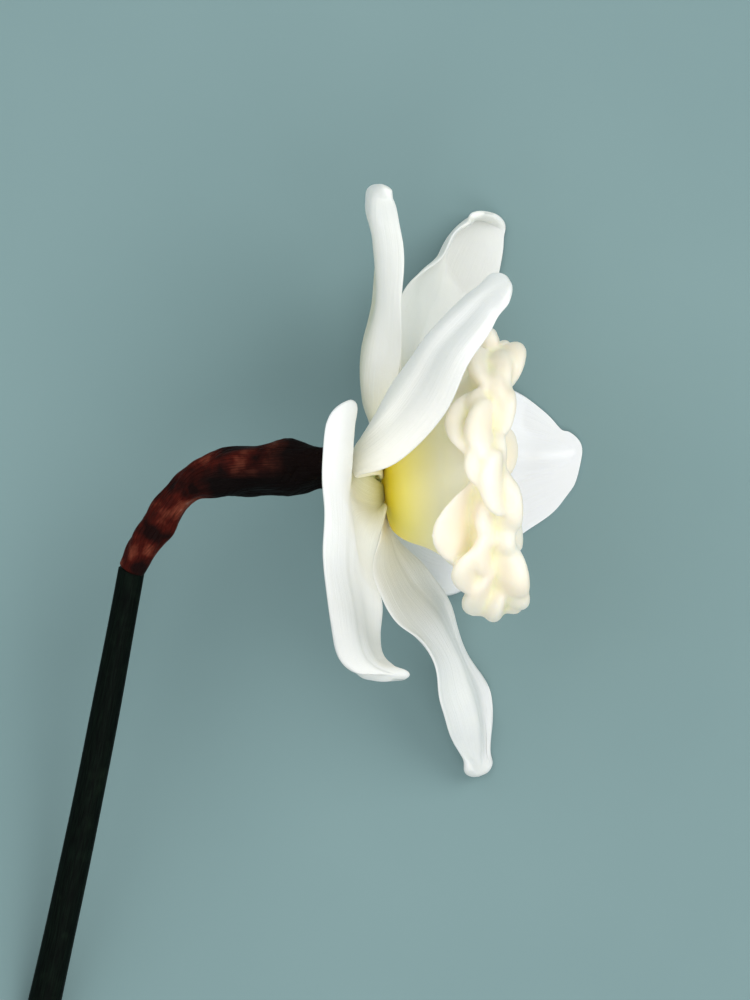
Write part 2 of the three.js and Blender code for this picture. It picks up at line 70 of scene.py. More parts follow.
# A tepal is drawn by its two margins, "low" at the smaller seat angle and "high", and by its
# midrib, from its seat to its tip. "waves" are those of its margins: how many, how high, and where
# the first one starts. "tip_swell" is how much thicker the tip is, and "pointed" shapes a tip that
# isn't round. A fold is a ridge along the blade: its place across it (-1 to 1), its height, its
# width, and the shares of the length where it starts and is full. "tone" picks from TEPAL_TONES.
TEPALS = {
    "tepal_outer_1": {
        "seat": 10,
        "tone": "tepal_side_shaded",
        "low": [(-1.9, 8.8, -2.8), (-2.1, 14, -6.5), (-1.8, 21.8, -11), (-0.8, 30.4, -12),
                (-0.6, 38, -8.5), (-1.6, 43.8, -2.5)],
        "rib": [(-2.1, 8.8, 1.3), (-3.1, 13.2, 1), (-3, 21.2, 2), (-0.6, 29.6, 3),
                (-0.9, 38.1, 3.2), (-2.4, 43.2, 3.6)],
        "high": [(-1.3, 7.8, 4.4), (1.1, 12.4, 6), (2.8, 20, 9.5), (2.4, 29.7, 12.5),
                 (2.4, 37.9, 11.5), (1.7, 43.6, 7.5)],
        "tip": (-0.8, 47, 4.5),
        "tip_swell": 1.3,
        "waves": (2.4, 0.6, 0.5),
        "folds": [(0.45, -1.6, 0.5, 0.15, 0.35)],
    },
    "tepal_outer_2": {
        "seat": 124,
        "tone": "tepal_shade_band",
        "low": [(-3, 1, 8.2), (-6.4, 5.2, 12), (-3.9, 10.5, 18), (-6, 12, 22.5),
                (-9.1, 8.2, 27.5), (-9, -3.5, 32.5), (-9.7, -12.7, 35), (-8.5, -22.2, 35),
                (-6.1, -29.2, 33)],
        "rib": [(-1.7, -4.4, 6.4), (-5.1, -3.5, 11), (-6.2, -2.3, 18), (-6.6, -4, 23.5),
                (-6.4, -8.2, 27), (-6.4, -12.8, 29), (-5.8, -18.9, 30.5), (-4.4, -25.1, 31.5),
                (-2.1, -29.4, 31)],
        "high": [(0.1, -4.4, 6.6), (-0.2, -7.2, 9), (-1.3, -10.2, 10.5), (-1.7, -13.5, 11.5),
                 (-1.4, -17, 13.5), (-0.8, -20.5, 16), (-0.4, -24.5, 19), (0.1, -27.7, 23.5),
                 (1.2, -29.5, 27.5)],
        "tip": (2.1, -31.3, 29),
        "tip_swell": 2.0,
        "waves": (3.2, 0.5, 1.1),
        "folds": [(-0.15, 0.9, 0.7, 0.15, 0.35), (0.75, -0.7, 0.4, 0.55, 0.7)],
    },
    "tepal_outer_3": {
        "seat": 264,
        "tone": "tepal_painted_cool_light",
        "low": [(0.1, -4.7, -8.3), (1.5, -9.6, -13.6), (4.2, -17.4, -21.8), (12.4, -19.2, -29.2),
                (21.9, -10.3, -32.1), (29.5, -4.4, -31.8)],
        "rib": [(0.1, -0.6, -9.6), (3.6, -0.4, -16.5), (8, -0.2, -24), (15, 0.5, -30),
                (23.4, 2.2, -32.4), (30.6, 3.2, -32.3)],
        "high": [(0, 3.4, -8.7), (3.6, 6.9, -13), (8.3, 12.2, -20.5), (15.1, 15.8, -27),
                 (22.5, 14.5, -31), (28.8, 8.9, -31.6)],
        "tip": (33.3, 5, -31.7),
        "tip_swell": 0.0,
        "pointed": 0.4,
        "waves": (2.6, 0.6, 2.4),
        "folds": [(0.12, 2.4, 0.42, 0.3, 0.6)],
    },
    "tepal_inner_1": {
        "seat": 317,
        "tone": "tepal_grey_shade",
        "low": [(0.3, 4.2, -8.6), (3.8, 10.7, -13), (8.7, 17.4, -21.5), (14.7, 24.1, -29),
                (18.6, 31.8, -32.4), (20.1, 39.4, -32.2)],
        "rib": [(-0.1, 6.9, -6.5), (2.3, 13.1, -9.5), (5.3, 21.7, -17), (9.4, 30.3, -25),
                (12.5, 37.7, -31.4), (15.1, 42.6, -32.5)],
        "high": [(0, 8.9, -3.8), (1.8, 14.8, -4), (2.4, 24.1, -8), (3.9, 32.2, -14),
                 (9.4, 37, -21), (13.2, 41.8, -26)],
        "tip": (17.4, 44.4, -28),
        "tip_swell": 0.8,
        "waves": (2.8, 0.7, 0.2),
        "folds": [(-0.1, -2.2, 0.9, 0.35, 0.75)],
    },
    "tepal_inner_2": {
        "seat": 70,
        "tone": "tepal_white",
        "low": [(-1.1, 6.9, 5), (-1.9, 7.8, 8), (0.9, 13.2, 10.8), (4.3, 18.2, 13.5),
                (8.8, 23.6, 17), (14, 28.6, 21.5)],
        "rib": [(-1.5, 4.4, 7.3), (-4.3, 4.1, 11.5), (-0.8, 9.2, 17), (4, 15.8, 22),
                (7.8, 21.9, 26), (13.7, 27.6, 28)],
        "high": [(-1.2, 0.4, 8.2), (-3.9, 0.3, 14.5), (1.7, 2.4, 21), (9.4, 10.1, 28.5),
                 (13.2, 17.6, 32.6), (16.6, 23.3, 33)],
        "tip": (19.2, 30.6, 28.6),
        "tip_swell": 0.7,
        "waves": (2.6, 0.5, 1.8),
        "folds": [(0.3, 1, 0.5, 0.3, 0.5)],
    },
    "tepal_inner_3": {
        "seat": 204,
        "tone": "tepal_shade_end_cream",
        "low": [(-0.9, -8.4, 2.4), (-2.2, -14.2, 3), (1.8, -22.6, -2), (6.4, -28, -8.5),
                (9.8, -37.8, -16), (12.7, -46, -24.5)],
        "rib": [(0.5, -8.7, -4), (2.3, -13.6, -7.5), (6.4, -20.4, -13.5), (10, -29.2, -20),
                (13.1, -37.7, -25.5), (15, -45.5, -29.5)],
        "high": [(0.5, -6.6, -7), (3.3, -10.9, -11.5), (9.3, -18.5, -20), (13.3, -27, -27.5),
                 (17.6, -35.5, -31.9), (17.9, -44.3, -30.7)],
        "tip": (16.4, -49.9, -30.6),
        "tip_swell": 1.6,
        "waves": (2.7, 0.7, 2.9),
        "folds": [(-0.1, 2.4, 0.75, 0.35, 0.55)],
    },
}

# The cup's wall as (along the axis, from the axis). Its rim breaks into lobes.
CUP_WALL = [(-0.8, 3.3), (0, 3.4), (0.4, 5.4), (1, 8), (3, 9.8), (6.6, 11.3), (10.2, 13.7),
            (13.6, 16.6), (16.4, 19)]
LOBE_ARCH = 0.5  # how far a lobe bends over across its width
LOBE_SWELL = (1.08, 1.25)  # width and thickness of a lobe as grown into its neighbours
LOBE_ROOT = 0.72  # a lobe grows out of the wall from this share of the wall's line
LOBE_FOOT = (0.72, 0.55)  # width and thickness of a lobe at its foot, as shares of the full ones
LOBE_WIDENS, LOBE_THICKENS = (0, 0.5), (0.1, 0.75)  # from where to where along it
LOBE_ENDS = (2.2, 2)  # the higher, the fuller the arc that its width and thickness end in
LOBE_RINGS, LOBE_SIDES = 30, 24
LOBE_CROWDING, LOBE_CLOSES = 1.5, 0.998  # rings crowd towards its tip, and stop just short of it

# The frill's fleshy lobes: angle round the axis from +Y towards +Z, where the tip is along the axis
# and from the axis, width, thickness, and how far the lobe first runs on in the wall's direction.
LOBES = [
    (6, 19, 22.4, 9, 2.2, 9), (17, 18.2, 24, 8, 2.3, 9.5), (27, 23.4, 21.8, 12, 3, 8),
    (38, 20.6, 22.8, 12, 3, 8.5), (40, 14, 23.4, 10, 2.6, 11.5), (49, 18.8, 22.6, 8, 2.6, 10),
    (57, 21.2, 21, 7, 2.6, 8.5), (61, 13.4, 22.6, 6, 2, 12), (63, 20.8, 19.8, 6, 1.8, 7),
    (69, 9.4, 21.6, 10.5, 1.7, 12), (73, 12.6, 23.4, 10, 2.2, 13.5), (80, 19.2, 20.4, 7, 2, 8),
    (87, 12.2, 22.8, 7.5, 2.2, 12), (95, 14.4, 23.8, 10, 2.6, 14), (99, 19.8, 21, 7, 2, 9),
    (107, 21.2, 21.4, 9.5, 2.6, 9.5), (112, 14, 22, 9, 2.4, 10), (118, 6.6, 21, 14, 1.4, 7.5),
    (124, 19.8, 20.8, 7, 2.2, 8.5), (128, 13, 22.6, 9, 2.2, 10), (136, 9.4, 22.8, 10, 2.2, 11),
    (138, 20.6, 20.6, 10, 2.4, 8.5), (149, 21.8, 22.2, 14, 3.2, 9.5),
    (156, 11, 23.2, 13, 2.6, 11.5), (163, 21.8, 22.6, 13, 2.8, 9.5),
    (168, 15.6, 24.4, 13, 2.8, 10.5), (176, 20.6, 22.8, 12, 2.6, 9),
]

# On the side turned to the surface two kinds of lobe take turns, one at every step.
HIDDEN_LOBES = {
    "angles": (184, 362),
    "step": 11,
    "kinds": [{"tip": (14.6, 22.4), "reach": 9.5}, {"tip": (21.5, 21.2), "reach": 8.5}],
    "width": 9,
    "thickness": 2,
    "jitter": (2, 1, 0.7, 1),  # of the angle, the tip's two places and the width
    "seed": 12,
}

# The neck, from the stem to the flower: (x, y, z, sheath's outside radius).
NECK = [
    (-41.3, -15.4, -4.1, 2.15), (-39.4, -11.6, -3, 2.3), (-37.2, -8.1, -2, 2.5),
    (-34.5, -4.2, -1.1, 2.55), (-31.6, -1.4, -0.5, 2.6), (-28.5, 0.2, -0.2, 3.3),
    (-24.6, 1, 0, 3.75), (-20.4, 1.3, 0, 4.2), (-16.1, 1.4, 0, 4.35), (-13.2, 1.5, 0, 3.9),
    (-9.8, 1.4, 0, 3.3), (-6.4, 0.2, 0, 3.5), (-3.4, -0.18, 0, 3.5),
]
SHEATH_FOOT, SHEATH_LIP = 0.012, 0.845  # where the sheath starts and ends along the neck
BARE_TUBE = (2.4, 3.5)  # the tube's radii at the neck's last points, where it leaves the sheath
TUBE_PLAY = 0.45  # how much thinner than the sheath's inside the tube is, beyond the seam
TUBE_MOUTH = [(-2.3, 4.3), (-1.9, 4.7), (-1.55, 4.85), (-1.5, 4.6), (-1.5, THROAT_RADIUS + 0.2),
              (-1.7, THROAT_RADIUS), (-2.6, 2.2), (THROAT_FLOOR, 2.1), (THROAT_FLOOR, 0.3)]
STEM_END = np.array([-58.2, -92.7, FLOOR + 2.1])
STEM_RADII = (2.05, 2.6)
STEM_SEAT = 0.5  # how far the stem runs up into the sheath
STEM_BOW = 0.5  # how far its middle bends towards +X

STAMENS = 6
STAMEN_START = 20  # degrees
STALK_ENDS = (6.4, 8.2)  # where along the axis a stalk ends, by turns
STALK_RADII = [0.5, 0.42, 0.4, 0.3]
ANTHER_RADII = [0.15, 0.72, 0.82, 0.76, 0.2]
ANTHER_SECTION = [(0.16, 2), (-0.1, 4)]  # ridges: size as a share of the radius, and how many
STIGMA_LOBES = 3
STIGMA_START = 50  # degrees
STYLE_RADII = [0.62, 0.52, 0.5, 0.52, 0.6]
STIGMA_RADII = [0.45, 0.6, 0.62, 0.25]


# ---------------------------------------------------------------- lines and surfaces
STEP = 1e-3  # a small share of a line or a surface, for its direction


def smooth(low, high, x):
    """0 at low, 1 at high, and level at both ends. low may be the greater one."""
    t = np.clip((x - low) / (high - low), 0, 1)
    return t * t * (3 - 2 * t)


def unit(vectors):
    return vectors / np.maximum(np.linalg.norm(vectors, axis=-1, keepdims=True), 1e-12)


def line_through(points):
    """A Catmull-Rom line through the points: a function of an array of shares from 0 to 1."""
    p = np.array(points, float)
    p = np.vstack([2 * p[0] - p[1], p, 2 * p[-1] - p[-2]])
    spans = len(points) - 1

    def at(share):
        s = np.asarray(share, float) * spans
        k = np.clip(np.floor(s).astype(int), 0, spans - 1)
        w = (s - k)[..., None]
        a, b, c, d = p[k], p[k + 1], p[k + 2], p[k + 3]
        start, end = (c - a) / 2, (d - b) / 2
        squared, cubed = 3 * (c - b) - 2 * start - end, 2 * (b - c) + start + end
        return b + start * w + squared * w**2 + cubed * w**3

    return at


def on_axis(along, radius, angle):
    """A point given along the flower's axis, from the axis and by its angle round it."""
    x, y = along, radius * np.cos(angle)
    turned_x = x * math.cos(FACE_TILT) - y * math.sin(FACE_TILT)
    turned_y = x * math.sin(FACE_TILT) + y * math.cos(FACE_TILT)
    return np.stack(np.broadcast_arrays(turned_x, turned_y, radius * np.sin(angle)), axis=-1)


def normals(surface, u, v):
    along = surface(u + STEP, v) - surface(u - STEP, v)
    across = surface(u, v + STEP) - surface(u, v - STEP)
    return unit(np.cross(along, across))


def waviness(points, size, seed):
    """A smooth, irregular height at each point, about -1 to 1. size is its wavelength."""
    waves, spread = 6, (0.7, 1.5)
    rng = np.random.default_rng(seed)
    total = np.zeros(points.shape[:-1])
    for _ in range(waves):
        direction = unit(rng.normal(size=3))
        rate = 2 * math.pi / (size * rng.uniform(*spread))
        total += np.sin(points @ direction * rate + rng.uniform(0, 2 * math.pi))
    return total / (waves / 2)


def around(count):
    """Evenly spaced angles of a full turn."""
    return np.linspace(0, 2 * math.pi, count, endpoint=False)


# ---------------------------------------------------------------- meshes
def metres(points):
    return (points + FLOWER_AT) / 1000


def label_points(mesh, **labels):
    for label, values in labels.items():
        held = mesh.attributes.new(label, "FLOAT", "POINT")
        held.data.foreach_set("value", np.asarray(values, np.float32))


def piece(name, points, faces, material, replaced, slot, uv=None):
    """Makes one piece of the look. uv holds each point's u and v, which its material reads."""
    mesh = bpy.data.meshes.new(name)
    mesh.from_pydata(metres(points).tolist(), [], faces)
    mesh.polygons.foreach_set("use_smooth", [True] * len(mesh.polygons))
    if uv is not None:
        label_points(mesh, along=uv[0], across=uv[1])
    mesh.materials.append(material)
    made = bpy.data.objects.new(name, mesh)
    bpy.context.scene.collection.objects.link(made)
    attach(made, "root")
    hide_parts(replaced)
    return made


def ring_faces(rows, columns):
    """Quads between rings of points, ring by ring."""
    faces = []
    for i in range(rows - 1):
        near, far = i * columns, (i + 1) * columns
        for j in range(columns):
            k = (j + 1) % columns
            faces.append([near + j, far + j, far + k, near + k])
    return faces


def loop_mesh(rings):
    """Points and faces of a skin through closed rings of equal length, capped at both ends."""
    rows, columns = rings.shape[:2]
    faces = ring_faces(rows, columns)
    faces.append(list(range(columns)))
    faces.append([(rows - 1) * columns + j for j in reversed(range(columns))])
    return rings.reshape(-1, 3), faces


# ---------------------------------------------------------------- tepals
MARGIN_CROWDING, TIP_CROWDING = 0.65, 1.25  # how much finer the grid is there
MARGIN_EDGE, TIP_EDGE = 10, 60  # the higher, the tighter the blade's rounded edge
SWOLLEN = (0.84, 0.96)  # where the tip's swelling starts and is full
PRESSED = 0.9  # the share of its thickness that a blade keeps where it lies flat
ROUND_TIP, POINTED_TIP = (0, 0.7), (0, 0.5)  # where in the last span the tip's shape takes over
LAST_LIMIT = 0.99  # how far into the last span a tip widens: at 1 it would have no limit

# Relief of a blade. A span is where along it the relief starts, is full, fades and is gone.
MARGIN_WAVES = {"breadth": 2.4, "fullness": 0.7, "lead": 0.21}  # lead sets the margins apart
GROOVE = {"depth": 0.2, "width": 0.12, "span": (0.05, 0.3, 0.8, 1)}
RIBS = {"height": 0.013, "rate": 34, "wander": 2, "size": 14, "seed": 5,
        "span": (0.03, 0.2, 0.75, 1)}
UNEVENNESS = {"height": 0.25, "size": 12, "start": 0.05, "full": 0.3}
FOLD_END = (0.75, 0.98)  # where every fold fades and is gone
FOLD_CREST, FOLD_REACH, FOLD_SOFTNESS = 0.01, 1.05, 0.4


def blade(surface, tip_swell):
    """A thin closed sheet with rounded margins and a rounded tip. Each ring goes along the front
    from one margin to the other, and back along the rear."""
    crowded = 0.5 - 0.5 * np.cos(np.linspace(0, math.pi, TEPAL_COLUMNS + 1))
    even = np.linspace(0, 1, TEPAL_COLUMNS + 1)
    share = MARGIN_CROWDING * crowded + (1 - MARGIN_CROWDING) * even
    length = 1 - (1 - np.linspace(0, 1, TEPAL_ROWS + 1)) ** TIP_CROWDING
    u, v = np.meshgrid(length, share, indexing="ij")
    middle = surface(u, v)
    across = np.sqrt(np.clip(1 - np.abs(2 * v - 1) ** MARGIN_EDGE, 0, 1))
    swell = across * np.sqrt(np.clip(1 - u**TIP_EDGE, 0, 1))
    swell *= 1 + tip_swell * smooth(*SWOLLEN, u)
    half = normals(surface, u, v) * (TEPAL_THICKNESS / 2 * swell)[..., None]
    front, back = middle + half, middle - half
    press(front, back)
    rings = np.concatenate([front, back[:, -2:0:-1]], axis=1)
    uv = [np.concatenate([g, g[:, -2:0:-1]], axis=1).ravel() for g in (u, v)]
    return *loop_mesh(rings), uv


def press(front, back):
    """What would lie below the surface that the flower rests on is pressed flat on it."""
    higher = front[..., 2] >= back[..., 2]
    for points, above in ((front, higher), (back, ~higher)):
        lowest = np.where(above, FLOOR + PRESSED * TEPAL_THICKNESS, FLOOR)
        points[..., 2] = np.maximum(points[..., 2], lowest)


def between(start, full, fading, gone, u):
    """0 up to start, 1 from full to fading, and 0 again from gone on."""
    return smooth(start, full, u) * smooth(gone, fading, u)


def tepal_surface(name):
    """The middle of a tepal's blade: a bowed section between its lines, with its relief."""
    drawn = TEPALS[name]
    seat = math.radians(drawn["seat"])

    def rail(angle, points):
        start = on_axis(TEPAL_SEAT["at"], TEPAL_SEAT["radius"], angle)
        return line_through([start, *points, drawn["tip"]])

    rails = [
        rail(seat - TEPAL_SEAT["half_arc"], drawn["low"]),
        rail(seat, drawn["rib"]),
        rail(seat + TEPAL_SEAT["half_arc"], drawn["high"]),
    ]
    spans = len(drawn["rib"]) + 1
    count, size, start = drawn["waves"]

    def plain(u, v):
        """Without relief. "last" runs over the last span, where the blade closes into its tip."""
        share = np.clip(u * TEPAL_END, 0, 1)
        low, rib, high = (line(share) for line in rails)
        last = np.clip(share * spans - spans + 1, 0, LAST_LIMIT)
        if "pointed" in drawn:
            widening = ((1 - last) ** -drawn["pointed"] - 1) * smooth(*POINTED_TIP, last)
        else:
            widening = (np.sqrt((1 + last) / (1 - last)) - 1) * smooth(*ROUND_TIP, last)
        rounding = 1 + widening[..., None]
        side = (2 * v - 1)[..., None]
        return rib + (high - low) * side * rounding / 2 + ((low + high) / 2 - rib) * side**2

    def surface(u, v):
        side = 2 * v - 1
        flat = plain(u, v)
        reach = np.sin(math.pi * np.clip(u, 0, 1)) ** MARGIN_WAVES["fullness"]
        margin = np.abs(side) ** MARGIN_WAVES["breadth"] * reach
        phase = 2 * math.pi * (count * u + start + MARGIN_WAVES["lead"] * np.sign(side))
        groove = GROOVE["depth"] * np.exp(-((side / GROOVE["width"]) ** 2))
        wander = RIBS["wander"] * waviness(flat, RIBS["size"], RIBS["seed"])
        ribs = RIBS["height"] * np.cos(side * RIBS["rate"] + wander)
        shift = size * margin * np.sin(phase)
        shift += ribs * between(*RIBS["span"], u) - groove * between(*GROOVE["span"], u)
        for middle, height, width, first, full in drawn["folds"]:
            shift += height * fold(side, middle, width) * between(first, full, *FOLD_END, u)
        uneven = waviness(flat, UNEVENNESS["size"], len(name) + int(seat * 100))
        uneven *= smooth(UNEVENNESS["start"], UNEVENNESS["full"], u)
        shift += UNEVENNESS["height"] * uneven
        return flat + normals(plain, u, v) * shift[..., None]

    return surface


def fold(side, middle, width):
    """A rounded ridge across the blade: 1 at its middle, and 0 from width away."""
    away = np.sqrt(((side - middle) / width) ** 2 + FOLD_CREST)
    near = np.clip(FOLD_REACH - away, 0, 1)
    return FOLD_SOFTNESS * smooth(0, 1, near) + (1 - FOLD_SOFTNESS) * near


def make_tepals():
    tones = {tone: tepal_material(tone) for tone in TEPAL_TONES}
    for name, drawn in TEPALS.items():
        points, faces, uv = blade(tepal_surface(name), drawn["tip_swell"])
        piece(name + "_petal", points, faces, tones[drawn["tone"]], name, "tepal", uv)


# ---------------------------------------------------------------- frilled cup
VOXEL = 0.00032  # metres: the grain at which the cup's wall and lobes are grown together
SOFTENING = (0.5, 36)  # strength and rounds of the smoothing after that
CALMING = 70  # rounds of smoothing that give the surroundings a point stands out from
CUP_FOOT, CUP_REACH = 3, 26  # "along" is 0 on a ring of this radius, and 1 this far from it
BULGE_SPAN = 1.6  # what "bulge" covers from 0 to 1
CUP_OVERRUN = 8  # how fast the wall's line runs on past its ends
ROOT_STEP = 0.02  # the share of the wall's line that gives a lobe its first direction
WALL_EDGE = 1.5  # the higher, the rounder a wall's edge
WALL_LEAST = 0.04  # the square of the share of its thickness that a wall's edge keeps


def lobe_skin(angle, tip_along, tip_out, width, thickness, reach):
    """A closed skin of one lobe: a tongue with an oval section and a round, plump end."""
    wall = line_through(CUP_WALL)
    root, before = wall(np.array([LOBE_ROOT])), wall(np.array([LOBE_ROOT - ROOT_STEP]))
    tip = np.array([[tip_along, tip_out]])
    bend = root + unit(root - before) * reach
    t = (1 - (1 - np.linspace(0, LOBE_CLOSES, LOBE_RINGS)) ** LOBE_CROWDING)[:, None]
    line = root * (1 - t) ** 2 + 2 * bend * t * (1 - t) + tip * t**2
    slope = unit((bend - root) * (1 - t) + (tip - bend) * t)
    length = sum(np.linalg.norm(part) for part in (tip - root, bend - root, tip - bend)) / 2
    widening = LOBE_FOOT[0] + (1 - LOBE_FOOT[0]) * smooth(*LOBE_WIDENS, t)
    thickening = LOBE_FOOT[1] + (1 - LOBE_FOOT[1]) * smooth(*LOBE_THICKENS, t)
    half_width = LOBE_SWELL[0] * width / 2 * widening
    half_width = half_width * rounded_off(t, 1 - 0.5 * width / length, LOBE_ENDS[0])
    half_thickness = LOBE_SWELL[1] * thickness / 2 * thickening
    half_thickness = half_thickness * rounded_off(t, 1 - thickness / length, LOBE_ENDS[1])
    turn = around(LOBE_SIDES)
    side, rise = half_width * np.cos(turn), half_thickness * np.sin(turn)
    rise = rise - LOBE_ARCH * side**2 / width
    along = line[:, :1] - slope[:, 1:] * rise
    out = line[:, 1:] + slope[:, :1] * rise
    return loop_mesh(on_axis(along, out, math.radians(angle) + side / line[:, 1:]))


def rounded_off(t, start, power):
    """1 up to start, and from there down to 0 at 1 along an arc."""
    return np.sqrt(np.clip(1 - (np.clip(t - start, 0, 1) / (1 - start)) ** power, 0, 1))


def hidden_lobes():
    rng = np.random.default_rng(HIDDEN_LOBES["seed"])
    step, lobes = HIDDEN_LOBES["step"], []
    for angle in range(*HIDDEN_LOBES["angles"], step):
        kind = HIDDEN_LOBES["kinds"][angle // step % 2]
        middle = (angle, *kind["tip"], HIDDEN_LOBES["width"])
        moved = middle + HIDDEN_LOBES["jitter"] * rng.uniform(-1, 1, 4)
        lobes.append((*moved, HIDDEN_LOBES["thickness"], kind["reach"]))
    return lobes


def cup_surface(u, v):
    """The cup's wall. Just past its ends it runs on straight, which gives it a normal there."""
    inside = np.clip(u, 0, 1)
    drawn = line_through(CUP_WALL)(inside)
    along = drawn[..., 0] + CUP_OVERRUN * (u - inside)
    return on_axis(along, drawn[..., 1], 2 * math.pi * v)


def round_wall(surface, rows, columns, thickness, both_ends=False):
    """A thin wall that closes on itself across v, with a rounded rim, or with both ends rounded."""
    u, v = np.meshgrid(np.linspace(0, 1, rows + 1), np.arange(columns) / columns, indexing="ij")
    middle = surface(u, v)
    reach = np.abs(2 * u - 1) if both_ends else u
    swell = np.sqrt(np.clip(1 - reach ** (rows / WALL_EDGE), WALL_LEAST, 1))
    half = normals(surface, u, v) * (thickness / 2 * swell)[..., None]
    rings = np.concatenate([middle + half, (middle - half)[::-1]], axis=0)
    uv = [np.concatenate([g, g[::-1]], axis=0).ravel() for g in (u, v)]
    faces = ring_faces(2 * rows + 2, columns)
    last = (2 * rows + 1) * columns
    for j in range(columns):
        k = (j + 1) % columns
        faces.append([last + j, j, k, last + k])
    return rings.reshape(-1, 3), faces, uv


def make_corona(material):
    skins = [round_wall(cup_surface, CUP_ROWS, CUP_COLUMNS, CUP_THICKNESS)[:2]]
    skins += [lobe_skin(*lobe) for lobe in [*LOBES, *hidden_lobes()]]
    made = piece("corona_frill", *joined(skins), material, "corona", "corona")
    remesh = made.modifiers.new("grown_together", "REMESH")
    remesh.mode = "VOXEL"
    remesh.voxel_size = VOXEL
    remesh.use_smooth_shade = True
    soften = made.modifiers.new("soften", "SMOOTH")
    soften.factor, soften.iterations = SOFTENING
    apply_modifiers(made)
    label_cup(made.data)


def apply_modifiers(made):
    depsgraph = bpy.context.evaluated_depsgraph_get()
    mesh = bpy.data.meshes.new_from_object(made.evaluated_get(depsgraph))
    made.modifiers.clear()
    made.data = mesh


def label_cup(mesh):
    """Marks each point with how far it is from the collar, and with how much it stands out."""
    held = np.empty(len(mesh.vertices) * 3)
    mesh.vertices.foreach_get("co", held)
    points = held.reshape(-1, 3) * 1000 - FLOWER_AT
    away = np.hypot(points[:, 0], np.hypot(points[:, 1], points[:, 2]) - CUP_FOOT)
    bulge = 0.5 + standing_out(mesh, points) / BULGE_SPAN
    label_points(mesh, along=np.clip(away / CUP_REACH, 0, 1), bulge=np.clip(bulge, 0, 1))


def standing_out(mesh, points):
    """How far each point stands out from its smoothed surroundings: below 0 between lobes."""
    ends = np.empty(len(mesh.edges) * 2, np.int32)
    mesh.edges.foreach_get("vertices", ends)
    a, b = ends.reshape(-1, 2).T
    size = len(points)
    neighbours = np.bincount(a, minlength=size) + np.bincount(b, minlength=size)
    calm = points.copy()
    for _ in range(CALMING):
        for k in range(3):
            held = calm[:, k]
            total = np.bincount(a, held[b], size) + np.bincount(b, held[a], size)
            calm[:, k] = total / neighbours
    facing = np.empty(size * 3)
    mesh.vertices.foreach_get("normal", facing)
    return ((points - calm) * facing.reshape(-1, 3)).sum(axis=1)


# ---------------------------------------------------------------- neck and stem
UP = np.array([0.0, 0.0, 1.0])
TORN_EDGE = [(0.012, 3, 0.5), (0.01, 5, 0), (0.004, 17, 0)]  # size, how many round, start
SHEATH_TWIST = 5  # radians from its foot to its lip
SHEATH_CREASES = {"height": 0.14, "count": 5, "wander": 1, "size": 16, "seed": 3}
SHEATH_WRINKLES = {"height": 0.07, "count": 9, "wander": 3, "size": 7, "seed": 4}
SHEATH_SPIRAL = {"height": 0.1, "count": 3, "turn": 14, "start": 1}
SHEATH_LUMPS = [(0.28, 8, 5), (0.15, 3.5, 6)]  # height, size and seed
SHEATH_CALM_FOOT = (0.3, 0.15)  # the relief's share at the foot, and where it is full
STEM_RINGS, STEM_SIDES = 161, 72
STEM_RIDGES = [(0.05, 2), (0.012, 16)]  # size as a share of the radius, and how many round
STEM_UNEVENNESS = {"height": 0.012, "size": 18, "seed": 8}
STEM_TOP = {"start": 0.996, "least": 0.3}  # how its end inside the sheath rounds off
TUBE_RINGS, TUBE_SIDES = 120, 60
TUBE_RIDGES = [(0.03, 6), (0.01, 18)]


def rings_round(centres, directions, radii, angles):
    """Rings of points round a line. Angles turn from level to upright."""
    sideways = unit(np.cross(UP, directions))
    upward = unit(np.cross(directions, sideways))
    c, s = np.cos(angles), np.sin(angles)
    return centres[:, None] + radii[..., None] * (
        sideways[:, None] * c[None, :, None] + upward[:, None] * s[None, :, None]
    )


def direction_of(line, share):
    return unit(line(np.clip(share + STEP, 0, 1)) - line(np.clip(share - STEP, 0, 1)))


def ridges(kinds, angles):
    return sum(size * np.cos(count * angles) for size, count in kinds)


def ridged(angle):
    return np.abs(np.sin(angle))


def make_sheath(material):
    line = line_through([p[:3] for p in NECK])
    profile = line_through([[p[3]] for p in NECK])

    def round_the_neck(t, angle, radius):
        along = direction_of(line, t)
        sideways = unit(np.cross(UP, along))
        upward = np.cross(along, sideways)
        outward = sideways * np.cos(angle)[..., None] + upward * np.sin(angle)[..., None]
        return line(t) + outward * radius[..., None]

    def surface(u, v):
        angle = -2 * math.pi * v
        torn = sum(size * np.sin(count * angle + start) for size, count, start in TORN_EDGE)
        t = SHEATH_FOOT + (SHEATH_LIP - SHEATH_FOOT + torn) * u
        radius = profile(t)[..., 0] - SHEATH_THICKNESS / 2
        spot = round_the_neck(t, angle, radius)
        twisted = angle + SHEATH_TWIST * u
        relief = 0
        for kind, shape in ((SHEATH_CREASES, np.sin), (SHEATH_WRINKLES, ridged)):
            wander = kind["wander"] * waviness(spot, kind["size"], kind["seed"])
            relief = relief + kind["height"] * shape(kind["count"] * twisted + wander)
        spiral = SHEATH_SPIRAL["count"] * angle - SHEATH_SPIRAL["turn"] * u + SHEATH_SPIRAL["start"]
        relief += SHEATH_SPIRAL["height"] * np.sin(spiral)
        relief += sum(height * waviness(spot, size, seed) for height, size, seed in SHEATH_LUMPS)
        foot, full = SHEATH_CALM_FOOT
        return round_the_neck(t, angle, radius + relief * (foot + (1 - foot) * smooth(0, full, u)))

    points, faces, uv = round_wall(surface, SHEATH_ROWS, SHEATH_COLUMNS, SHEATH_THICKNESS, True)
    piece("spathe_sheath", points, faces, material, "spathe", "spathe", uv)


